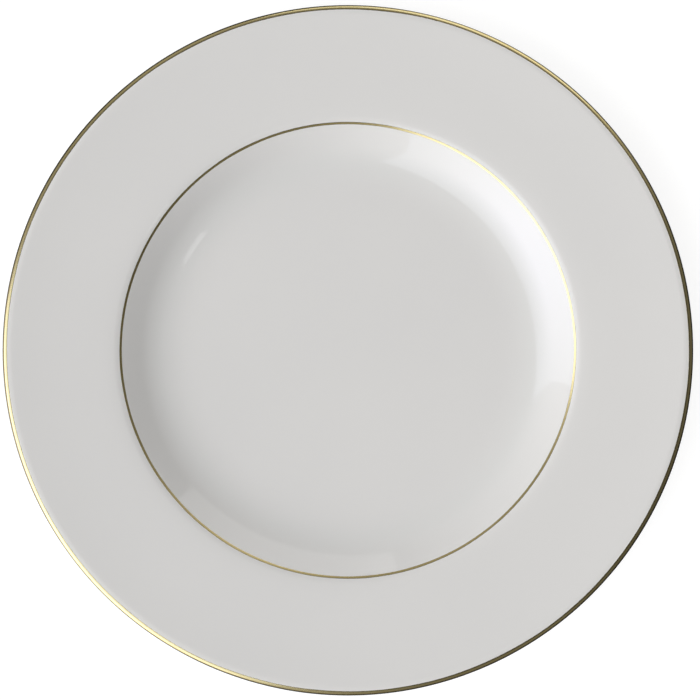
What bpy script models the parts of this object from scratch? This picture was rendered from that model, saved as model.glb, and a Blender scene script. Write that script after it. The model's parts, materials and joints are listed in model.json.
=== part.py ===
"""A gilded china dinner plate, 27 cm across, as the separate layers that the real one is made of.

The porcelain body is one fired piece: floor, cavetto (the curved wall of the well), verge (the shoulder), rim
and foot ring. Two glaze coats cover it, one outside and one inside the foot ring, and both stop short of the
foot ring's bare contact face. The gold at the lip and on the verge, and the printed mark under the floor, are
films on top of the glaze. Nothing on a plate moves.

Everything but the mark is a section turned about Z. A Pen draws half of the section as a chain of straight runs
and tangent arcs, and keeps the outward normal at each point, so that a coat or a film is the same line moved
outwards.

Frame: metres, +Z up, origin at the centre of the foot ring's contact plane.
"""

import math
from collections import namedtuple

import bpy

# --- Driving dimensions, in metres and radians ---------------------------------------------------------------

PLATE_RADIUS = 0.1350  # over the gold
FLOOR_HEIGHT = 0.0076  # the glazed floor above the table
RECESS_HEIGHT = 0.0030  # the glazed underside of the floor, inside the foot ring
FLOOR_RADIUS = 0.0618  # the floor is flat out to here

FLOOR_EASE = 0.0800  # the floor's edge begins to rise on this long arc
FLOOR_EASE_SLOPE = math.radians(3.7)
FLOOR_CURVE = 0.0490  # and goes on rising on this one
FLOOR_CURVE_SLOPE = math.radians(10.5)
CAVETTO_CURVE = 0.0253  # the tighter bend that follows it
CAVETTO_SLOPE = math.radians(31.5)  # the steepest part of the well
CAVETTO_RUN = 0.0075  # the straight stretch at that slope
VERGE_CURVE = 0.0100  # the shoulder between well and rim
VERGE_CURVE_SLOPE = math.radians(6)
VERGE_EASE = 0.0740  # the longer arc that lets the shoulder run out into the rim
RIM_SLOPE = math.radians(2.8)
RIM_BREAK_RADIUS = 0.1110  # the rim turns up a little from here
RIM_BREAK_CURVE = 0.333
LIP_SLOPE = math.radians(5.3)
LIP_EASE = 0.0070  # the lip rounds over on this arc
NOSE_SLOPE = math.radians(-3)  # until it falls this much outwards, where the nose begins

VERGE_THICKNESS = 0.0044  # glazed wall, from the cavetto to the verge
LIP_THICKNESS = 0.0030  # glazed wall where the nose begins
NOSE_REACH = 0.00285  # the rounded nose beyond that
NOSE_POWER = 2.6  # of its curve: 2 is an ellipse, and more is blunter

FOOT_SLOPE = math.radians(15)  # slope of the face above the place where the back turns down into the foot
FOOT_OUTER_FILLET = 0.0025
FOOT_INNER_FILLET = 0.0015
FOOT_OUTER_DRAFT = math.radians(12)
FOOT_INNER_DRAFT = math.radians(15)
FOOT_CORNER = 0.0006
FOOT_WIDTH = 0.0028  # the flat that stands on the table

GLAZE_THICKNESS = 0.00025
GLAZE_GAP = 0.00005  # clearance under the glaze, because solids may not share a face
GLAZE_STOP = 0.0009  # the glaze ends this far above the table
FILM_THICKNESS = 0.00007  # gold and print; the real films are thousandths of this
FILM_GAP = 0.00003

GOLD_LINE_SLOPE = math.radians(23.8)  # slope of the verge at the middle of the gold line
GOLD_LINE_WIDTH = 0.00105

MARK_RADIUS = 0.0090
FLOWER_RADIUS = 0.0066  # the unprinted flower in the middle of the mark, to the tips of its lobes
FLOWER_LOBES = 6
FLOWER_DEPTH = 0.34  # share of that radius between a lobe's tip and the notch beside it

SEGMENTS = 48  # facets round the axis; every turned piece has the same, so that the gaps stay even
CHORD_ERROR = 0.00006  # how far an arc's facet may cut inside the arc
NOSE_FACETS = 8
GOLD_FIRST_FACET, GOLD_LAST_FACET = 1, 6  # of the nose: the gold wraps from the face to the underside
MERGE_DISTANCE = 1e-6

COAT = GLAZE_GAP + GLAZE_THICKNESS  # from the body to the glaze's surface
FILM = FILM_GAP + FILM_THICKNESS  # from the glaze to a film's surface

Sample = namedtuple("Sample", "radius height out_r out_z")


# --- The section ---------------------------------------------------------------------------------------------


class Pen:
    """Draws the section clockwise: out along the face, round the nose, and in along the back.

    The heading is 0 when moving outwards and turns clockwise as it falls, and the outward normal is on the
    pen's left.
    """

    def __init__(self, radius, height, heading):
        self.radius, self.height, self.heading = radius, height, heading
        self.samples = []
        self.keep()

    def keep(self):
        normal = (-math.sin(self.heading), math.cos(self.heading))
        self.samples.append(Sample(self.radius, self.height, *normal))

    def straight(self, length):
        self.radius += length * math.cos(self.heading)
        self.height += length * math.sin(self.heading)
        self.keep()

    def straight_to_radius(self, radius):
        self.straight((radius - self.radius) / math.cos(self.heading))

    def straight_to_height(self, height):
        self.straight((height - self.height) / math.sin(self.heading))

    def bend(self, curve, heading):
        """An arc of radius curve that ends at the given heading, in equal facets."""
        turn = heading - self.heading
        side = math.copysign(1, turn)
        centre_r = self.radius - side * curve * math.sin(self.heading)
        centre_z = self.height + side * curve * math.cos(self.heading)
        facets = math.ceil(abs(turn) / (2 * math.acos(1 - CHORD_ERROR / curve)))
        first = self.heading
        for i in range(1, facets + 1):
            self.heading = first + turn * i / facets
            self.radius = centre_r + side * curve * math.sin(self.heading)
            self.height = centre_z - side * curve * math.cos(self.heading)
            self.keep()


def moved(samples, distance):
    """The same line, moved outwards along its normals."""
    return [
        Sample(s.radius + distance * s.out_r, s.height + distance * s.out_z, s.out_r, s.out_z)
        for s in samples
    ]


def nose_start_radius():
    """Where the face ends, so that the nose reaches the plate's radius under the gold."""
    reach = NOSE_REACH * math.cos(NOSE_SLOPE)
    return PLATE_RADIUS - FILM - reach - LIP_THICKNESS / 2 * math.sin(NOSE_SLOPE)


def draw_face():
    """The glazed face from the centre to the nose, and the stretches of it that other lines need."""
    half_line = GOLD_LINE_WIDTH / 2 / VERGE_CURVE
    ease_run = LIP_EASE * (math.sin(LIP_SLOPE) - math.sin(NOSE_SLOPE))
    pen = Pen(0.0, FLOOR_HEIGHT, 0.0)
    pen.straight(FLOOR_RADIUS)
    pen.bend(FLOOR_EASE, FLOOR_EASE_SLOPE)
    pen.bend(FLOOR_CURVE, FLOOR_CURVE_SLOPE)
    pen.bend(CAVETTO_CURVE, FOOT_SLOPE)
    above_foot = len(pen.samples) - 1
    pen.bend(CAVETTO_CURVE, CAVETTO_SLOPE)
    pen.straight(CAVETTO_RUN)
    pen.bend(VERGE_CURVE, GOLD_LINE_SLOPE + half_line)
    line_start = len(pen.samples) - 1
    pen.bend(VERGE_CURVE, GOLD_LINE_SLOPE - half_line)
    gold_line = pen.samples[line_start:]
    pen.bend(VERGE_CURVE, VERGE_CURVE_SLOPE)
    pen.bend(VERGE_EASE, RIM_SLOPE)
    pen.straight_to_radius(RIM_BREAK_RADIUS)
    pen.bend(RIM_BREAK_CURVE, LIP_SLOPE)
    pen.straight_to_radius(nose_start_radius() - ease_run)
    pen.bend(LIP_EASE, NOSE_SLOPE)
    return pen.samples, above_foot, gold_line


def wall_thickness(radius, verge_radius, lip_radius):
    """The glazed wall thins evenly from the verge to the lip."""
    share = (radius - verge_radius) / (lip_radius - verge_radius)
    share = min(1.0, max(0.0, share))
    return VERGE_THICKNESS + (LIP_THICKNESS - VERGE_THICKNESS) * share


def signed_power(value, power):
    return math.copysign(abs(value) ** power, value)


def draw_nose(lip):
    """Half a blunted ellipse (a superellipse) from the end of the face, lip, round to the back."""
    half = LIP_THICKNESS / 2
    blunt, steep = 2 / NOSE_POWER, 2 - 2 / NOSE_POWER
    along_r, along_z = lip.out_z, -lip.out_r
    centre_r = lip.radius - half * lip.out_r
    centre_z = lip.height - half * lip.out_z
    nose = []
    for i in range(1, NOSE_FACETS):
        angle = math.pi * i / NOSE_FACETS
        ahead = NOSE_REACH * math.sin(angle) ** blunt
        up = half * signed_power(math.cos(angle), blunt)
        steep_ahead = half * math.sin(angle) ** steep
        steep_up = NOSE_REACH * signed_power(math.cos(angle), steep)
        length = math.hypot(steep_ahead, steep_up)
        nose.append(
            Sample(
                centre_r + ahead * along_r + up * lip.out_r,
                centre_z + ahead * along_z + up * lip.out_z,
                (steep_ahead * along_r + steep_up * lip.out_r) / length,
                (steep_ahead * along_z + steep_up * lip.out_z) / length,
            )
        )
    return nose


def draw_back(face, verge_radius):
    """The glazed back from the nose in to the foot ring, a wall's thickness under the face."""
    lip_radius = face[-1].radius
    back = []
    for s in reversed(face):
        wall = wall_thickness(s.radius, verge_radius, lip_radius)
        back.append(
            Sample(s.radius - wall * s.out_r, s.height - wall * s.out_z, -s.out_r, -s.out_z)
        )
    return back


def draw_foot(start):
    """The body's foot ring and recess, from the end of the back to the axis, and where the glaze stops."""
    half_turn = math.pi
    pen = Pen(start.radius, start.height, FOOT_SLOPE - half_turn)
    outer_side = -half_turn / 2 - FOOT_OUTER_DRAFT
    inner_side = -half_turn * 3 / 2 + FOOT_INNER_DRAFT
    body_recess = RECESS_HEIGHT + COAT
    pen.bend(FOOT_OUTER_FILLET, outer_side)
    pen.straight_to_height(GLAZE_STOP)
    outer_stop = len(pen.samples)
    pen.straight_to_height(FOOT_CORNER * (1 - math.sin(FOOT_OUTER_DRAFT)))
    pen.bend(FOOT_CORNER, -half_turn)
    pen.straight(FOOT_WIDTH)
    pen.bend(FOOT_CORNER, inner_side)
    pen.straight_to_height(GLAZE_STOP)
    inner_stop = len(pen.samples) - 1
    pen.straight_to_height(body_recess - FOOT_INNER_FILLET * (1 - math.sin(FOOT_INNER_DRAFT)))
    pen.bend(FOOT_INNER_FILLET, -half_turn)
    pen.straight_to_radius(0.0)
    return pen.samples, outer_stop, inner_stop


def draw_sections():
    """Each turned piece's section, as a list of (radius, height) points, and whether it reaches the axis."""
    face, above_foot, gold_line = draw_face()
    nose = draw_nose(face[-1])
    back = draw_back(face[above_foot:], gold_line[-1].radius)
    covered = moved(face + nose + back, -COAT)
    foot, outer_stop, inner_stop = draw_foot(covered[-1])
    outside = covered + foot[1:outer_stop]
    inside = foot[inner_stop:]
    gilded_nose = nose[GOLD_FIRST_FACET - 1 : GOLD_LAST_FACET]
    return {
        "porcelain_body": (points_of(covered + foot[1:]), True),
        "outer_glaze": (layer(outside, GLAZE_GAP, COAT), True),
        "recess_glaze": (layer(list(reversed(inside)), COAT, GLAZE_GAP), True),
        "rim_gold_band": (layer(gilded_nose, FILM_GAP, FILM), False),
        "verge_gold_line": (layer(gold_line, FILM_GAP, FILM), False),
    }


def points_of(samples):
    return [(s.radius, s.height) for s in samples]


def layer(samples, inner, outer):
    """The outline of a layer on a line: out along its surface and back along its underside."""
    return points_of(moved(samples, outer)) + points_of(reversed(moved(samples, inner)))


# --- Objects -------------------------------------------------------------------------------------------------


def clear_scene():
    for thing in list(bpy.data.objects):
        bpy.data.objects.remove(thing)


def make_collection(name):
    collection = bpy.data.collections.new(name)
    bpy.context.scene.collection.children.link(collection)
    return collection


def make_material(name, colour, roughness, metallic):
    material = bpy.data.materials.new(name)
    material.use_nodes = True
    shader = material.node_tree.nodes["Principled BSDF"]
    shader.inputs["Base Color"].default_value = (*colour, 1.0)
    shader.inputs["Roughness"].default_value = roughness
    shader.inputs["Metallic"].default_value = metallic
    return material


def place(name, data, material, collection):
    thing = bpy.data.objects.new(name, data)
    data.materials.append(material)
    collection.objects.link(thing)
    return thing


def turn(name, section, reaches_axis, material, collection):
    """A section turned about Z. One that leaves the axis and comes back to it needs no closing edge."""
    count = len(section)
    edges = [(i, i + 1) for i in range(count - 1)]
    if not reaches_axis:
        edges.append((count - 1, 0))
    mesh = bpy.data.meshes.new(name)
    mesh.from_pydata([(radius, 0.0, height) for radius, height in section], edges, [])
    thing = place(name, mesh, material, collection)
    screw = thing.modifiers.new("turned", "SCREW")
    screw.axis = "Z"
    screw.angle = math.tau
    screw.steps = screw.render_steps = SEGMENTS
    screw.use_merge_vertices = True
    screw.merge_threshold = MERGE_DISTANCE
    screw.use_smooth_shade = True
    return thing


def add_loop(curve, points):
    spline = curve.splines.new("POLY")
    spline.points.add(len(points) - 1)
    for target, (x, y) in zip(spline.points, points):
        target.co = (x, y, 0.0, 1.0)
    spline.use_cyclic_u = True


def make_mark(name, material, collection):
    """The mark under the floor: a printed disc that leaves a flower bare."""
    disc, flower = [], []
    for i in range(SEGMENTS):
        angle = math.tau * i / SEGMENTS
        notch = (1 - math.cos(FLOWER_LOBES * angle)) / 2
        petal = FLOWER_RADIUS * (1 - FLOWER_DEPTH * notch)
        disc.append((MARK_RADIUS * math.cos(angle), MARK_RADIUS * math.sin(angle)))
        flower.append((petal * math.cos(angle), petal * math.sin(angle)))
    curve = bpy.data.curves.new(name, "CURVE")
    curve.dimensions = "2D"
    curve.fill_mode = "BOTH"
    curve.extrude = FILM_THICKNESS / 2
    add_loop(curve, disc)
    add_loop(curve, flower)
    mark = place(name, curve, material, collection)
    mark.location.z = RECESS_HEIGHT - FILM_GAP - FILM_THICKNESS / 2
    return mark


def main():
    clear_scene()
    plate = make_collection("china_dinner_plate")
    porcelain = make_material("porcelain", (0.84, 0.82, 0.78), 0.65, 0.0)
    glaze = make_material("glaze", (0.87, 0.865, 0.85), 0.08, 0.0)
    gold = make_material("gold", (0.83, 0.66, 0.34), 0.18, 1.0)
    ink = make_material("ink", (0.30, 0.31, 0.29), 0.35, 0.0)
    materials = {
        "porcelain_body": porcelain,
        "outer_glaze": glaze,
        "recess_glaze": glaze,
        "rim_gold_band": gold,
        "verge_gold_line": gold,
    }
    for name, (section, reaches_axis) in draw_sections().items():
        turn(name, section, reaches_axis, materials[name], plate)
    make_mark("underside_mark", ink, plate)


main()
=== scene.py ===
"""The looks of the gilded china dinner plate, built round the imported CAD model.

The plate's section is drawn again from the CAD's own dimensions, with many times its facets, and turned about
Z in mesh code. Every coat then follows the section by its normals: glaze with rounded, slightly uneven ends at
the bare foot, gold with thin hand-lined edges, and a printed mark. A kiln's small warp bends all of them
together. Materials are procedural. The light is one large softbox at the lower left, with weaker ones.

Units are metres, and the frame is the CAD's: +Z up, origin at the centre of the foot ring's contact plane.
"""

import json
import math

import bpy
import numpy as np
from mathutils import Matrix, Vector, noise


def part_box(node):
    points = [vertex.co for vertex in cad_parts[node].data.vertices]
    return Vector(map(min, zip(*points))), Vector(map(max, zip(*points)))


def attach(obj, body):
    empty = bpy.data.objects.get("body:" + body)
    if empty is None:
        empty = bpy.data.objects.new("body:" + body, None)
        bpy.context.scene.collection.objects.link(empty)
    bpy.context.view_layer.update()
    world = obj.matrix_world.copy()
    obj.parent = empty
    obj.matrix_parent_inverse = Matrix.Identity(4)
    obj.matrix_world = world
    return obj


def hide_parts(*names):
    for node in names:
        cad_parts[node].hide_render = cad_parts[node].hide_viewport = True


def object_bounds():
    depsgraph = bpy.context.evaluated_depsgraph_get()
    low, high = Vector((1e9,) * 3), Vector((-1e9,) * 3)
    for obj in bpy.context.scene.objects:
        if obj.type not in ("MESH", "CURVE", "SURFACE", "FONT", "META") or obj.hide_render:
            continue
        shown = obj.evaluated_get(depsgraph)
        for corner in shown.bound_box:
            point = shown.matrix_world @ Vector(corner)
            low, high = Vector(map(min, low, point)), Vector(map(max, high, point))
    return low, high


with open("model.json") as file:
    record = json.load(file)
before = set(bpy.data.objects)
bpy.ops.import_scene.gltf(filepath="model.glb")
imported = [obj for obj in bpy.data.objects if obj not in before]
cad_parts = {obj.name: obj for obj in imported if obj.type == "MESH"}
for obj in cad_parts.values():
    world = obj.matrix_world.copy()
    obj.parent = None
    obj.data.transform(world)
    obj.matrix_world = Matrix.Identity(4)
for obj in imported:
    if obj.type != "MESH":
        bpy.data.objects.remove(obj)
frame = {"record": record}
cad_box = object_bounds()

# --- The section's dimensions, as in the CAD -------------------------------------------------------------------

MOUNTS = {mount["name"]: Vector(mount["pos_m"]) for mount in frame["record"]["mounts"]}
PLATE_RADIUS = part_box("rim_gold_band")[1].x
FLOOR_HEIGHT = MOUNTS["well_floor"].z
TABLE_HEIGHT = MOUNTS["foot_ring"].z
RECESS_HEIGHT = 0.0030
FLOOR_RADIUS = 0.0618

FLOOR_EASE = 0.0800
FLOOR_EASE_SLOPE = math.radians(3.7)
FLOOR_CURVE = 0.0490
FLOOR_CURVE_SLOPE = math.radians(10.5)
CAVETTO_CURVE = 0.0253
CAVETTO_SLOPE = math.radians(31.5)
CAVETTO_RUN = 0.0075
VERGE_CURVE = 0.0100
VERGE_CURVE_SLOPE = math.radians(6)
VERGE_EASE = 0.0740
RIM_SLOPE = math.radians(2.8)
RIM_BREAK_RADIUS = 0.1110
RIM_BREAK_CURVE = 0.333
LIP_SLOPE = math.radians(5.3)
LIP_EASE = 0.0070
NOSE_SLOPE = math.radians(-3)

VERGE_THICKNESS = 0.0044
LIP_THICKNESS = 0.0030
NOSE_REACH = 0.00285
NOSE_POWER = 2.6  # of its curve: 2 is an ellipse, and more is blunter

FOOT_SLOPE = math.radians(15)
FOOT_OUTER_FILLET = 0.0025
FOOT_INNER_FILLET = 0.0015
FOOT_OUTER_DRAFT = math.radians(12)
FOOT_INNER_DRAFT = math.radians(15)
FOOT_CORNER = 0.0006
FOOT_WIDTH = 0.0028

GLAZE_THICKNESS = 0.0003  # the CAD's coat and the clearance under it
GLAZE_STOP = 0.0009
FILM_ALLOWANCE = 0.0001  # the CAD's gold stands this far outside the glaze
GOLD_LINE_SLOPE = math.radians(23.8)
GOLD_LINE_WIDTH = 0.00105
MARK_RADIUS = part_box("underside_mark")[1].x

# --- Fineness and small irregularities --------------------------------------------------------------------------

SEGMENTS = 240  # facets round the axis
TURN_PER_FACET = math.radians(1.6)
STRAIGHT_STEP = 0.0022
NOSE_FACETS = 30
BEAD_FACETS = 8  # round the glaze's end
FILM_FACETS = 15  # across the gold, between its feathered edges
FILM_UNDER_FACETS = 6
MARK_POINTS = 144  # round each loop of the mark
HIDDEN_STRIDE = 4  # surfaces that touch another keep one point in this many
SHARP_EDGE = math.radians(50)
ON_AXIS = 1e-7

WARP_START = 0.0745  # the foot's outer edge; inside it the plate stays flat
RIM_WARP = 0.00012  # two-lobed, at the lip
RIM_RIPPLE = 0.00005  # three-lobed
GLAZE_STOP_WANDER = 0.00022
GLAZE_STOP_WAVES = 4.0  # of the wander round the plate
BEAD_BULGE = 0.9  # of half the glaze's thickness
GOLD_SINK = 0.000012  # the film's edges dip under the glaze's surface
GOLD_STAND = 0.000028  # its middle stands over it
GOLD_FEATHER = 0.00010  # width of its rounded edge
FEATHER_STEPS = np.array([0, 0.15, 0.4, 0.7])  # shares of that width
BAND_EDGE_WANDER = 0.00007
BAND_EDGE_WAVES = 6.0
LINE_EDGE_WANDER = 0.00005
LINE_EDGE_WAVES = 7.0
BAND_INNER_TURN = 0.135  # share of the nose's half turn where the gold begins, on the face
BAND_OUTER_TURN = 0.76  # and where it ends, underneath
NOISE_SCALE = 1.6  # brings Blender's noise to between about -1 and 1

MARK_THICKNESS = 0.00002
MARK_LOOPS = [  # share of the mark's radius, depth of the six petals
    (1.0, 0), (0.94, 0), (0.88, 0), (0.73, 0.17), (0.60, 0.17), (0.55, 0.17), (0.30, 0.17), (0.11, 0),
]

FOOT_POOL_INSIDE = 0.0018  # how far glaze pools spread from the foot's corners
FOOT_POOL_OUTSIDE = 0.0020
WELL_POOL = 0.45  # strength of the pool at the well's edge, where the foot's is 1
WELL_POOL_RADIUS = 0.0745
WELL_POOL_SPREAD = 0.0060
UNDERSIDE_MARGIN = 0.0005  # the face is nowhere this far under the floor's height


# --- Drawing the section ----------------------------------------------------------------------------------------


class Pen:
    """Draws the section, out along the face and in along the back, with the outward normal at each point. The
    heading is 0 when moving outwards, and falls as the pen turns clockwise."""

    def __init__(self, radius, height, heading):
        self.radius, self.height, self.heading = radius, height, heading
        self.samples = []
        self.keep()

    def keep(self):
        self.samples.append((self.radius, self.height, -math.sin(self.heading), math.cos(self.heading)))

    def straight(self, length):
        steps = max(1, math.ceil(abs(length) / STRAIGHT_STEP))
        for _ in range(steps):
            self.radius += length / steps * math.cos(self.heading)
            self.height += length / steps * math.sin(self.heading)
            self.keep()

    def straight_to_radius(self, radius):
        self.straight((radius - self.radius) / math.cos(self.heading))

    def straight_to_height(self, height):
        self.straight((height - self.height) / math.sin(self.heading))

    def bend(self, curve, heading):
        turn = heading - self.heading
        side = math.copysign(1, turn)
        centre_r = self.radius - side * curve * math.sin(self.heading)
        centre_z = self.height + side * curve * math.cos(self.heading)
        facets = max(2, math.ceil(abs(turn) / TURN_PER_FACET))
        first = self.heading
        for i in range(1, facets + 1):
            self.heading = first + turn * i / facets
            self.radius = centre_r + side * curve * math.sin(self.heading)
            self.height = centre_z - side * curve * math.cos(self.heading)
            self.keep()


class Line:
    """A line of the section that can be read at any distance along it. Columns: radius, height, normal."""

    def __init__(self, samples):
        self.samples = np.array(samples, float)
        steps = np.hypot(*np.diff(self.samples[:, :2], axis=0).T)
        self.distance = np.concatenate([[0.0], np.cumsum(steps)])

    def at(self, distances):
        return np.column_stack([np.interp(distances, self.distance, c) for c in self.samples.T])


def moved(samples, distance):
    """The points of a line, moved outwards along its normals by a distance or one distance per point."""
    samples = np.asarray(samples, float)
    return samples[:, :2] + np.reshape(distance, (-1, 1)) * samples[:, 2:]


def moved_line(samples, distance):
    samples = np.asarray(samples, float)
    return np.column_stack([moved(samples, distance), samples[:, 2:]])


def draw_face():
    """The glazed face out to the nose. Also the sample above the foot, and the middle of the verge line."""
    reach = NOSE_REACH * math.cos(NOSE_SLOPE)
    nose_start = PLATE_RADIUS - FILM_ALLOWANCE - reach - LIP_THICKNESS / 2 * math.sin(NOSE_SLOPE)
    ease_run = LIP_EASE * (math.sin(LIP_SLOPE) - math.sin(NOSE_SLOPE))
    pen = Pen(0.0, FLOOR_HEIGHT, 0.0)
    pen.straight(FLOOR_RADIUS)
    pen.bend(FLOOR_EASE, FLOOR_EASE_SLOPE)
    pen.bend(FLOOR_CURVE, FLOOR_CURVE_SLOPE)
    pen.bend(CAVETTO_CURVE, FOOT_SLOPE)
    above_foot = len(pen.samples) - 1
    pen.bend(CAVETTO_CURVE, CAVETTO_SLOPE)
    pen.straight(CAVETTO_RUN)
    pen.bend(VERGE_CURVE, GOLD_LINE_SLOPE)
    line_middle = len(pen.samples) - 1
    pen.bend(VERGE_CURVE, VERGE_CURVE_SLOPE)
    pen.bend(VERGE_EASE, RIM_SLOPE)
    pen.straight_to_radius(RIM_BREAK_RADIUS)
    pen.bend(RIM_BREAK_CURVE, LIP_SLOPE)
    pen.straight_to_radius(nose_start - ease_run)
    pen.bend(LIP_EASE, NOSE_SLOPE)
    return pen.samples, above_foot, line_middle


def signed_power(value, power):
    return math.copysign(abs(value) ** power, value)


def draw_nose(lip):
    """Half a blunted ellipse from the lip, the last sample of the face, round to the back."""
    radius, height, out_r, out_z = lip
    half = LIP_THICKNESS / 2
    out, along = np.array([out_r, out_z]), np.array([out_z, -out_r])
    centre = np.array([radius, height]) - half * out
    of_point, of_normal = 2 / NOSE_POWER, 2 - 2 / NOSE_POWER
    nose = []
    for i in range(1, NOSE_FACETS):
        angle = math.pi * i / NOSE_FACETS
        sine, cosine = math.sin(angle), math.cos(angle)
        ahead, up = signed_power(sine, of_point), signed_power(cosine, of_point)
        point = centre + NOSE_REACH * ahead * along + half * up * out
        ahead, up = signed_power(sine, of_normal), signed_power(cosine, of_normal)
        normal = half * ahead * along + NOSE_REACH * up * out
        nose.append((*point, *(normal / np.linalg.norm(normal))))
    return nose


def draw_back(face, verge_radius):
    """The glazed back from the nose in to the foot ring, a wall's thickness under the face."""
    face = np.array(face)
    share = np.clip((face[:, 0] - verge_radius) / (face[-1, 0] - verge_radius), 0, 1)
    wall = VERGE_THICKNESS + (LIP_THICKNESS - VERGE_THICKNESS) * share
    back = np.column_stack([moved(face, -wall), -face[:, 2:]])
    return [tuple(sample) for sample in back[::-1]]


def draw_foot(start):
    """The bare body from the end of its back round the foot ring to the axis, and where the glaze stops."""
    down, inwards, up = -math.pi / 2, -math.pi, -math.pi * 3 / 2
    pen = Pen(start[0], start[1], inwards + FOOT_SLOPE)
    pen.bend(FOOT_OUTER_FILLET, down - FOOT_OUTER_DRAFT)
    pen.straight_to_height(GLAZE_STOP)
    outer_stop = len(pen.samples)
    pen.straight_to_height(FOOT_CORNER * (1 - math.sin(FOOT_OUTER_DRAFT)))
    pen.bend(FOOT_CORNER, inwards)
    pen.straight(FOOT_WIDTH)
    pen.bend(FOOT_CORNER, up + FOOT_INNER_DRAFT)
    pen.straight_to_height(GLAZE_STOP)
    inner_stop = len(pen.samples) - 1
    recess = RECESS_HEIGHT + GLAZE_THICKNESS
    pen.straight_to_height(recess - FOOT_INNER_FILLET * (1 - math.sin(FOOT_INNER_DRAFT)))
    pen.bend(FOOT_INNER_FILLET, inwards)
    pen.straight_to_radius(0.0)
    return pen.samples, outer_stop, inner_stop


class Section:
    """The lines that the pieces follow. The body lies a coat's thickness inside the glazed surface."""

    def __init__(self):
        face, above_foot, line_middle = draw_face()
        nose = draw_nose(face[-1])
        back = draw_back(face[above_foot:], face[line_middle][0])
        self.glazed = Line(face + nose + back)
        self.line_middle = self.glazed.distance[line_middle]
        self.nose_start = self.glazed.distance[len(face) - 1]
        self.nose_end = self.glazed.distance[len(face) + len(nose)]
        self.covered = moved_line(self.glazed.samples, -GLAZE_THICKNESS)
        foot, outer_stop, inner_stop = draw_foot(self.covered[-1])
        self.foot = np.array(foot[1:])
        self.outside = np.concatenate([self.covered, np.array(foot[1:outer_stop])])
        self.inside = np.array(foot[inner_stop:][::-1])

    def nose_distance(self, turn):
        """The distance along the glazed line of a share of the nose's half turn."""
        return np.interp(turn, [0, 1], [self.nose_start, self.nose_end])


# --- Turning it into meshes -------------------------------------------------------------------------------------


def wandering(middle, size, seed, waves):
    """A function of the angle round the plate: a smooth irregular value, the same each run, that stays within
    about size of the middle one."""

    def value_at(angle):
        place = Vector((math.cos(angle), math.sin(angle), 0.0)) * waves
        return middle + NOISE_SCALE * size * noise.noise(place + Vector((0.0, 0.0, seed)))

    return value_at


def kiln_warp(radius, angle):
    """How far the fired plate lies above its ideal shape. The foot stays flat."""
    share = np.clip((radius - WARP_START) / (PLATE_RADIUS - WARP_START), 0, 1) ** 2
    lobes = RIM_WARP * math.cos(2 * angle + 0.6) + RIM_RIPPLE * math.cos(3 * angle + 2.1)
    return share * lobes


def turned(name, points_at, closed):
    """A section turned about Z. points_at(angle) gives its (radius, height) points, which may depend on the
    angle. Points on the axis become one vertex, and a closed section joins its last point to its first."""
    vertices, rings = [], []
    for step in range(SEGMENTS):
        angle = math.tau * step / SEGMENTS
        points = np.asarray(points_at(angle), float)
        heights = points[:, 1] + kiln_warp(points[:, 0], angle)
        ring = []
        for i, (radius, height) in enumerate(zip(points[:, 0], heights)):
            if radius < ON_AXIS and rings:
                ring.append(rings[0][i])
                continue
            ring.append(len(vertices))
            vertices.append((radius * math.cos(angle), radius * math.sin(angle), height))
        rings.append(ring)
    count = len(rings[0])
    faces = []
    for ring, following in zip(rings, rings[1:] + rings[:1]):
        for i in range(count if closed else count - 1):
            k = (i + 1) % count
            corners = dict.fromkeys((ring[i], ring[k], following[k], following[i]))
            if len(corners) > 2:
                faces.append(tuple(corners))
    mesh = bpy.data.meshes.new(name)
    mesh.from_pydata(vertices, [], faces)
    mesh.validate()
    mesh.shade_smooth()
    mesh.set_sharp_from_angle(angle=SHARP_EDGE)
    piece = bpy.data.objects.new(name, mesh)
    bpy.context.scene.collection.objects.link(piece)
    return piece


def sparse(samples):
    """A hidden surface's points: the first, the last and one in HIDDEN_STRIDE between them."""
    keep = sorted({*range(0, len(samples), HIDDEN_STRIDE), len(samples) - 1})
    return samples[keep]


def coat_section(samples, end_at_height):
    """A glaze coat on a body line that starts on the axis. Its end is a rounded bead at a wandering height."""
    top = moved(samples, GLAZE_THICKNESS)
    under = moved(sparse(samples), 0.0)
    end, before = samples[-1, :2], samples[-2, :2]
    outward = samples[-1, 2:]
    run = (end - before) / np.linalg.norm(end - before)
    half = GLAZE_THICKNESS / 2
    turns = np.linspace(0, math.pi, BEAD_FACETS + 1)[1:-1]
    bead = [half * (math.cos(turn) * outward + BEAD_BULGE * math.sin(turn) * run) for turn in turns]

    def points_at(angle):
        base = end + run * (end_at_height(angle) - end[1]) / run[1]
        rounded = base + half * outward + bead
        return np.concatenate([top[:-1], [base + GLAZE_THICKNESS * outward], rounded, [base], under[-2::-1]])

    return points_at


def film_section(line, start_at, end_at):
    """A thin film on a line, between two distances that may wander. Its edges are feathered into the glaze."""
    edge = np.sqrt(1 - (1 - FEATHER_STEPS) ** 2)
    lift = np.concatenate([edge, np.ones(FILM_FACETS + 1), edge[::-1]])

    def points_at(angle):
        start, end = start_at(angle), end_at(angle)
        rise = start + GOLD_FEATHER * FEATHER_STEPS
        middle = np.linspace(start + GOLD_FEATHER, end - GOLD_FEATHER, FILM_FACETS + 1)
        fall = end - GOLD_FEATHER * FEATHER_STEPS[::-1]
        distances = np.concatenate([rise, middle, fall])
        top = moved(line.at(distances), lift * (GOLD_SINK + GOLD_STAND) - GOLD_SINK)
        back = np.linspace(end, start, FILM_UNDER_FACETS + 1)[1:-1]
        under = moved(line.at(back), -GOLD_SINK * 1.5)
        return np.concatenate([top, under])

    return points_at


def body_section(covered, foot):
    """The fired body: sparse where glaze hides it, and fine round the bare foot."""
    points = moved(np.concatenate([sparse(covered), foot]), 0.0)
    return lambda angle: points


# --- Materials --------------------------------------------------------------------------------------------------


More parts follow.
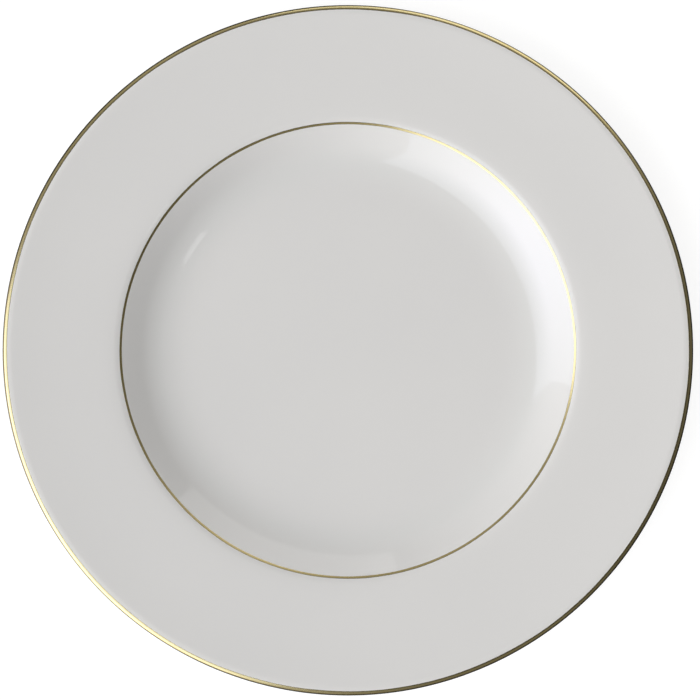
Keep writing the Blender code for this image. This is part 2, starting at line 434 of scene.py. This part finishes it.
def add(tree, kind, inputs=None, **settings):
    """A shader node with its settings, and its inputs given as values or as other nodes' outputs."""
    node = tree.nodes.new(kind)
    for key, value in settings.items():
        setattr(node, key, value)
    for key, value in (inputs or {}).items():
        if isinstance(value, bpy.types.NodeSocket):
            tree.links.new(value, node.inputs[key])
        else:
            node.inputs[key].default_value = value
    return node


def maths(tree, operation, *values):
    return add(tree, "ShaderNodeMath", dict(enumerate(values)), operation=operation).outputs[0]


def stretch(tree, value, low, high, to_low, to_high):
    """value mapped from one range to another, and held inside it."""
    inputs = {"Value": value, "From Min": low, "From Max": high, "To Min": to_low, "To Max": to_high}
    return add(tree, "ShaderNodeMapRange", inputs, clamp=True).outputs["Result"]


def blend_colours(tree, share, first, second):
    """The first colour where share is 0 and the second where it is 1. Each is a triple or a node's output."""
    factor, colour_1, colour_2, result = 0, 6, 7, 2  # the Mix node's sockets for colours
    inputs = {factor: share}
    for socket, colour in ((colour_1, first), (colour_2, second)):
        inputs[socket] = colour if isinstance(colour, bpy.types.NodeSocket) else (*colour, 1.0)
    return add(tree, "ShaderNodeMix", inputs, data_type="RGBA").outputs[result]


def cloud(tree, where, scale, detail=2.0, roughness=0.5):
    inputs = {"Vector": where, "Scale": scale, "Detail": detail, "Roughness": roughness}
    return add(tree, "ShaderNodeTexNoise", inputs).outputs["Fac"]


def bump(tree, height, distance, under=None):
    inputs = {"Height": height, "Distance": distance, "Strength": 1.0}
    if under is not None:
        inputs["Normal"] = under
    return add(tree, "ShaderNodeBump", inputs).outputs["Normal"]


def new_material(name):
    """An empty material with its Principled shader and the object's own coordinates."""
    material = bpy.data.materials.new(name)
    material.use_nodes = True
    tree = material.node_tree
    where = add(tree, "ShaderNodeTexCoord").outputs["Object"]
    return material, tree, tree.nodes["Principled BSDF"], where


def connect(tree, shader, **sockets):
    names = {"colour": "Base Color", "roughness": "Roughness", "normal": "Normal"}
    for key, socket in sockets.items():
        tree.links.new(socket, shader.inputs[names[key]])


def around(tree, where, along, across):
    """Coordinates that run round the plate slowly and across it fast, for marks left by a turning wheel."""
    parts = add(tree, "ShaderNodeSeparateXYZ", {"Vector": where}).outputs
    flat = add(tree, "ShaderNodeCombineXYZ", {"X": parts["X"], "Y": parts["Y"]}).outputs[0]
    radius = add(tree, "ShaderNodeVectorMath", {0: flat}, operation="LENGTH").outputs["Value"]
    unit = add(tree, "ShaderNodeVectorMath", {0: flat}, operation="NORMALIZE").outputs[0]
    scaled = add(tree, "ShaderNodeVectorMath", {0: unit, "Scale": along}, operation="SCALE").outputs[0]
    turns = add(tree, "ShaderNodeSeparateXYZ", {"Vector": scaled}).outputs
    rise = maths(tree, "MULTIPLY", maths(tree, "ADD", radius, parts["Z"]), across)
    return add(tree, "ShaderNodeCombineXYZ", {"X": turns["X"], "Y": turns["Y"], "Z": rise}).outputs[0]


def glaze_material():
    """Clear glaze over white porcelain: a warm white with faint clouds, rare pinhead specks, a slight
    grey-green where the coat pools, and the shallow ripple that makes its reflections a little uneven."""
    material, tree, shader, where = new_material("glazed_porcelain")
    clouds = stretch(tree, cloud(tree, where, 16.0, 3.0), 0.35, 0.65, 0.0, 1.0)
    white = blend_colours(tree, clouds, (0.818, 0.811, 0.800), (0.830, 0.822, 0.809))
    grain = stretch(tree, cloud(tree, where, 1300.0, 2.0), 0.3, 0.7, 0.0, 1.0)
    white = blend_colours(tree, maths(tree, "MULTIPLY", grain, 0.02), white, (0.74, 0.73, 0.70))
    pooled = add(tree, "ShaderNodeAttribute", attribute_name="pool").outputs["Fac"]
    white = blend_colours(tree, maths(tree, "MULTIPLY", pooled, 0.22), white, (0.70, 0.75, 0.73))
    cells = add(tree, "ShaderNodeTexVoronoi", {"Vector": where, "Scale": 95.0})
    dot = stretch(tree, cells.outputs["Distance"], 0.006, 0.014, 1.0, 0.0)
    lottery = add(tree, "ShaderNodeSeparateColor", {"Color": cells.outputs["Color"]}).outputs[0]
    speck = maths(tree, "MULTIPLY", dot, maths(tree, "GREATER_THAN", lottery, 0.955))
    white = blend_colours(tree, maths(tree, "MULTIPLY", speck, 0.45), white, (0.42, 0.36, 0.29))
    ripple = bump(tree, cloud(tree, where, 75.0, 1.0), 9e-6)
    normal = bump(tree, cloud(tree, where, 420.0, 1.0), 3e-7, ripple)
    gloss = stretch(tree, cloud(tree, where, 30.0, 2.0), 0.3, 0.7, 0.012, 0.028)
    connect(tree, shader, colour=white, roughness=gloss, normal=normal)
    shader.inputs["IOR"].default_value = 1.65
    return material


def gold_material():
    """Burnished bright gold, brushed on while the plate turned: streaks along the line, thin and thick places,
    and tiny burnishing dents."""
    material, tree, shader, where = new_material("burnished_gold")
    shader.inputs["Metallic"].default_value = 1.0
    lined = around(tree, where, 5.0, 9000.0)
    streak = stretch(tree, cloud(tree, lined, 1.0, 3.0, 0.6), 0.3, 0.7, 0.0, 1.0)
    gold = blend_colours(tree, streak, (0.80, 0.66, 0.32), (0.93, 0.81, 0.45))
    thin = stretch(tree, cloud(tree, where, 260.0, 3.0), 0.60, 0.78, 0.0, 0.35)
    gold = blend_colours(tree, thin, gold, (0.66, 0.51, 0.26))
    polish = stretch(tree, streak, 0.0, 1.0, 0.24, 0.14)
    brushed = bump(tree, streak, 1.2e-6)
    normal = bump(tree, cloud(tree, where, 900.0, 2.0), 1.5e-6, brushed)
    connect(tree, shader, colour=gold, roughness=polish, normal=normal)
    return material


def bisque_material():
    """Unglazed fired porcelain: a matt, faintly warm white with a fine grain, greyed where it rubs on tables."""
    material, tree, shader, where = new_material("bare_porcelain")
    mottle = stretch(tree, cloud(tree, where, 240.0, 4.0), 0.3, 0.7, 0.0, 1.0)
    bare = blend_colours(tree, mottle, (0.74, 0.71, 0.65), (0.82, 0.80, 0.75))
    height = add(tree, "ShaderNodeSeparateXYZ", {"Vector": where}).outputs["Z"]
    touching = stretch(tree, height, 0.00003, 0.00018, 1.0, 0.0)
    scuffs = cloud(tree, around(tree, where, 26.0, 5200.0), 1.0, 3.0, 0.65)
    worn = maths(tree, "MULTIPLY", touching, stretch(tree, scuffs, 0.42, 0.66, 0.1, 0.75))
    bare = blend_colours(tree, worn, bare, (0.46, 0.44, 0.41))
    grain = cloud(tree, where, 5200.0, 2.0)
    rough = stretch(tree, grain, 0.3, 0.7, 0.62, 0.80)
    normal = bump(tree, grain, 1.2e-5)
    connect(tree, shader, colour=bare, roughness=rough, normal=normal)
    return material


def ink_material():
    """The printed mark: grey-green ceramic ink under a thin flux, slightly broken up by the transfer."""
    material, tree, shader, where = new_material("printed_ink")
    screen = stretch(tree, cloud(tree, where, 2600.0, 2.0), 0.35, 0.65, 0.0, 1.0)
    ink = blend_colours(tree, screen, (0.13, 0.16, 0.14), (0.21, 0.25, 0.22))
    broken = stretch(tree, cloud(tree, where, 900.0, 4.0, 0.7), 0.60, 0.74, 0.0, 0.55)
    ink = blend_colours(tree, broken, ink, (0.62, 0.64, 0.60))
    sheen = stretch(tree, screen, 0.0, 1.0, 0.22, 0.34)
    normal = bump(tree, screen, 1.5e-6)
    connect(tree, shader, colour=ink, roughness=sheen, normal=normal)
    return material


# --- Pieces -----------------------------------------------------------------------------------------------------


def finish_piece(piece, node, material):
    piece.data.materials.append(material)
    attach(piece, "root")
    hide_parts(node)
    return piece


def mark_pools(piece):
    """Glaze runs down and gathers in the inside corners: 1 in the foot's corners, less at the well's edge."""
    mesh = piece.data
    places = np.empty(len(mesh.vertices) * 3)
    mesh.vertices.foreach_get("co", places)
    places = places.reshape(-1, 3)
    radius, height = np.hypot(places[:, 0], places[:, 1]), places[:, 2]
    foot = section.foot[:, 0]
    corner_inside = foot.min(initial=1, where=foot > FLOOR_RADIUS)
    corner_outside = section.covered[-1, 0]

    def pool_at(place, spread):
        return np.exp(-(((radius - place) / spread) ** 2))

    inside, outside = pool_at(corner_inside, FOOT_POOL_INSIDE), pool_at(corner_outside, FOOT_POOL_OUTSIDE)
    well_edge = WELL_POOL * pool_at(WELL_POOL_RADIUS, WELL_POOL_SPREAD)
    below = height < FLOOR_HEIGHT - UNDERSIDE_MARGIN
    pool = np.where(below, np.maximum(inside, outside), well_edge)
    layer = mesh.attributes.new("pool", "FLOAT", "POINT")
    layer.data.foreach_set("value", pool.astype(np.float32))


def make_body():
    piece = turned("fired_body", body_section(section.covered, section.foot), closed=False)
    return finish_piece(piece, "porcelain_body", bisque)


def make_coat(name, node, samples, seed):
    stop = wandering(GLAZE_STOP, GLAZE_STOP_WANDER, seed, GLAZE_STOP_WAVES)
    piece = turned(name, coat_section(samples, stop), closed=False)
    mark_pools(piece)
    return finish_piece(piece, node, glaze)


def make_rim_band():
    inner, outer = section.nose_distance(BAND_INNER_TURN), section.nose_distance(BAND_OUTER_TURN)
    start = wandering(inner, BAND_EDGE_WANDER, 1.0, BAND_EDGE_WAVES)
    end = wandering(outer, 2 * BAND_EDGE_WANDER, 2.0, BAND_EDGE_WAVES)
    piece = turned("lip_gold_band", film_section(section.glazed, start, end), closed=True)
    return finish_piece(piece, "rim_gold_band", gold)


def make_verge_line():
    middle, half = section.line_middle, GOLD_LINE_WIDTH / 2
    start = wandering(middle - half, LINE_EDGE_WANDER, 5.0, LINE_EDGE_WAVES)
    end = wandering(middle + half, LINE_EDGE_WANDER, 6.0, LINE_EDGE_WAVES)
    piece = turned("verge_gold_lining", film_section(section.glazed, start, end), closed=True)
    return finish_piece(piece, "verge_gold_line", gold)


def add_loop(curve, size, petal_depth):
    """A closed loop of the mark: a circle, or a flower of six petals."""
    spline = curve.splines.new("POLY")
    spline.points.add(MARK_POINTS - 1)
    for i, point in enumerate(spline.points):
        angle = math.tau * i / MARK_POINTS
        radius = size * (1 - petal_depth * (1 - math.cos(6 * angle)))
        point.co = (radius * math.cos(angle), radius * math.sin(angle), 0.0, 1.0)
    spline.use_cyclic_u = True


def make_mark():
    """The printed mark: a ring, a disc that leaves a six-petalled flower bare, and a small flower inside it.
    Each loop inside another turns print to bare and back."""
    curve = bpy.data.curves.new("printed_mark", "CURVE")
    curve.dimensions = "2D"
    curve.fill_mode = "BOTH"
    curve.extrude = MARK_THICKNESS / 2
    for share, petal_depth in MARK_LOOPS:
        add_loop(curve, MARK_RADIUS * share, petal_depth)
    outline = bpy.data.objects.new("mark_outline", curve)
    bpy.context.scene.collection.objects.link(outline)
    bpy.context.view_layer.update()
    mesh = bpy.data.meshes.new_from_object(outline.evaluated_get(bpy.context.evaluated_depsgraph_get()))
    bpy.data.objects.remove(outline)
    mesh.transform(Matrix.Translation((0.0, 0.0, RECESS_HEIGHT - MARK_THICKNESS)))
    mesh.materials.clear()
    piece = bpy.data.objects.new("printed_mark", mesh)
    bpy.context.scene.collection.objects.link(piece)
    return finish_piece(piece, "underside_mark", ink)


# --- Studio -----------------------------------------------------------------------------------------------------

LENS = 200.0  # mm on a 36 mm sensor: long, because the photographed plate shows no perspective
SENSOR = 36.0
PLATE_SHARE = 0.9870  # of the frame's width, from edge to edge of the gold
PLATE_OFFSET = Vector((-0.00082, -0.00012))  # of the plate's centre from the frame's, at the lip

WHITE = (1.0, 1.0, 1.0)
KEY_COLOUR = (0.92, 0.99, 1.13)
SOFTBOXES = [  # name, azimuth, its bottom's and its top's (distance, height), width, radiance, colour
    ("key", 212.5, (1.27, 0.58), (0.95, 2.58), 2.10, 0.86, KEY_COLOUR),
    ("strip", 72, (1.20, 0.50), (1.20, 0.95), 1.42, 0.76, WHITE),
    ("small", 326, (0.90, 2.17), (0.80, 2.92), 0.17, 1.05, WHITE),
]

SKY_COLOUR = (1.02, 1.0, 0.965)
SHEEN_COLOUR = (1.0, 1.0, 1.6)
SHEEN = (206, 32, 12, 0.00, 0.75)
SKY = [  # azimuth, elevation, sharpness, radiance, radiance in reflections
    (210, 62, 10, 3.30, 0.00),
    (0, 35, 12, 0.00, 0.12),
    (60, 35, 12, 0.00, 0.56),
    (120, 35, 12, 0.00, 0.36),
    (180, 35, 12, 0.20, 0.47),
    (240, 35, 12, 0.20, 0.52),
    (300, 35, 12, 0.00, 0.17),
    (70, 10, 24, 3.09, 0.53),
    (180, 10, 24, 1.73, 0.00),
    (225, 10, 24, 3.63, 1.89),
    (270, 10, 24, 0.58, 0.05),
    (195, -8, 12, 0.00, 0.45),
    (70, -8, 12, 0.00, 0.25),
]

SHEETS = [  # name, half its side, depth under the table's height, brightness, glow
    ("floor", 30.0, 0.0, 0.25, 0.865),
    ("floor_bounce", 3.0, 0.0005, 0.80, 0.18),
]


def make_camera():
    lip_height = cad_box[1].z - LIP_THICKNESS / 2
    camera = bpy.data.objects.new("camera", bpy.data.cameras.new("camera"))
    camera.data.lens = LENS
    camera.data.sensor_width = SENSOR
    distance = PLATE_RADIUS / (SENSOR / 2 / LENS * PLATE_SHARE)
    camera.location = (-PLATE_OFFSET.x, -PLATE_OFFSET.y, lip_height + distance)
    bpy.context.scene.collection.objects.link(camera)
    bpy.context.scene.camera = camera


def toward(azimuth, elevation):
    """The unit vector to a light: azimuth is counter-clockwise from +X, both in degrees."""
    a, e = math.radians(azimuth), math.radians(elevation)
    return Vector((math.cos(a) * math.cos(e), math.sin(a) * math.cos(e), math.sin(e)))


def make_softbox(name, azimuth, bottom, top, width, radiance, colour):
    """A rectangular light that faces the plate. bottom and top are (distance along the table, height)."""
    out = toward(azimuth, 0)
    low, high = (out * along + Vector((0, 0, height)) for along, height in (bottom, top))
    up = (high - low).normalized()
    across = Vector((0, 0, 1)).cross(out)
    facing = across.cross(up)
    data = bpy.data.lights.new(name, "AREA")
    data.shape = "RECTANGLE"
    data.size, data.size_y = width, (high - low).length
    data.energy = radiance * math.pi * data.size * data.size_y
    data.color = colour
    light = bpy.data.objects.new(name, data)
    light.matrix_world = Matrix.Translation((low + high) / 2) @ Matrix((across, up, facing)).transposed().to_4x4()
    light.visible_camera = False
    bpy.context.scene.collection.objects.link(light)


def sky_lobe(tree, ray, azimuth, elevation, sharpness, radiance, mirrored):
    """One wide soft light of the surround, with its radiance on the plate and in reflections."""
    facing = add(tree, "ShaderNodeTexCoord").outputs["Generated"]
    inputs = {0: facing, 1: tuple(toward(azimuth, elevation))}
    cosine = add(tree, "ShaderNodeVectorMath", inputs, operation="DOT_PRODUCT").outputs["Value"]
    lobe = maths(tree, "POWER", maths(tree, "MAXIMUM", cosine, 0.0), sharpness)
    level = stretch(tree, ray["Is Glossy Ray"], 0.0, 1.0, radiance, mirrored)
    return maths(tree, "MULTIPLY", lobe, level)


def make_sky():
    """Soft light from all round: a sum of wide lobes. The camera sees plain white behind the floor."""
    world = bpy.data.worlds.new("studio")
    bpy.context.scene.world = world
    world.use_nodes = True
    tree = world.node_tree
    ray = add(tree, "ShaderNodeLightPath").outputs
    sheen = sky_lobe(tree, ray, *SHEEN)
    total = sheen
    for lobe in SKY:
        total = maths(tree, "ADD", total, sky_lobe(tree, ray, *lobe))
    share = maths(tree, "DIVIDE", sheen, maths(tree, "MAXIMUM", total, 1e-6))  # never by 0
    colour = blend_colours(tree, share, SKY_COLOUR, SHEEN_COLOUR)
    colour = blend_colours(tree, ray["Is Camera Ray"], colour, WHITE)
    seen = maths(tree, "MAXIMUM", total, ray["Is Camera Ray"])
    tree.links.new(colour, tree.nodes["Background"].inputs["Color"])
    tree.links.new(seen, tree.nodes["Background"].inputs["Strength"])


def make_sheet(name, size, depth, brightness, glow):
    """A matt horizontal square that may glow."""
    mesh = bpy.data.meshes.new(name)
    height = TABLE_HEIGHT - depth
    corners = [(-size, -size, height), (size, -size, height), (size, size, height), (-size, size, height)]
    mesh.from_pydata(corners, [], [(0, 1, 2, 3)])
    sheet = bpy.data.objects.new(name, mesh)
    bpy.context.scene.collection.objects.link(sheet)
    material = bpy.data.materials.new(name)
    material.use_nodes = True
    shader = material.node_tree.nodes["Principled BSDF"]
    shader.inputs["Base Color"].default_value = (brightness, brightness, brightness, 1.0)
    shader.inputs["Roughness"].default_value = 1.0
    shader.inputs["Specular IOR Level"].default_value = 0.0
    shader.inputs["Emission Color"].default_value = (*WHITE, 1.0)
    shader.inputs["Emission Strength"].default_value = glow
    sheet.data.materials.append(material)
    return sheet


def make_floor():
    """Two sheets: a bright one that only the camera sees, so that the ground is as white as the photographed
    one, and one that lights the underside but isn't mirrored, so that the gold doesn't show a white ground."""
    shown, bounce = [make_sheet(*sheet) for sheet in SHEETS]
    shown.visible_diffuse = shown.visible_glossy = shown.visible_transmission = False
    shown.visible_shadow = False
    bounce.visible_camera = bounce.visible_glossy = False


def make_studio():
    for box in SOFTBOXES:
        make_softbox(*box)
    make_sky()
    make_floor()
    make_camera()
    bpy.context.scene.view_settings.view_transform = "Standard"
    bpy.context.scene.view_settings.look = "None"


# --- Build ------------------------------------------------------------------------------------------------------

section = Section()
glaze, gold, bisque, ink = glaze_material(), gold_material(), bisque_material(), ink_material()
make_body()
make_coat("outer_glaze_coat", "outer_glaze", section.outside, 3.0)
make_coat("recess_glaze_coat", "recess_glaze", section.inside, 8.0)
make_rim_band()
make_verge_line()
make_mark()
make_studio()
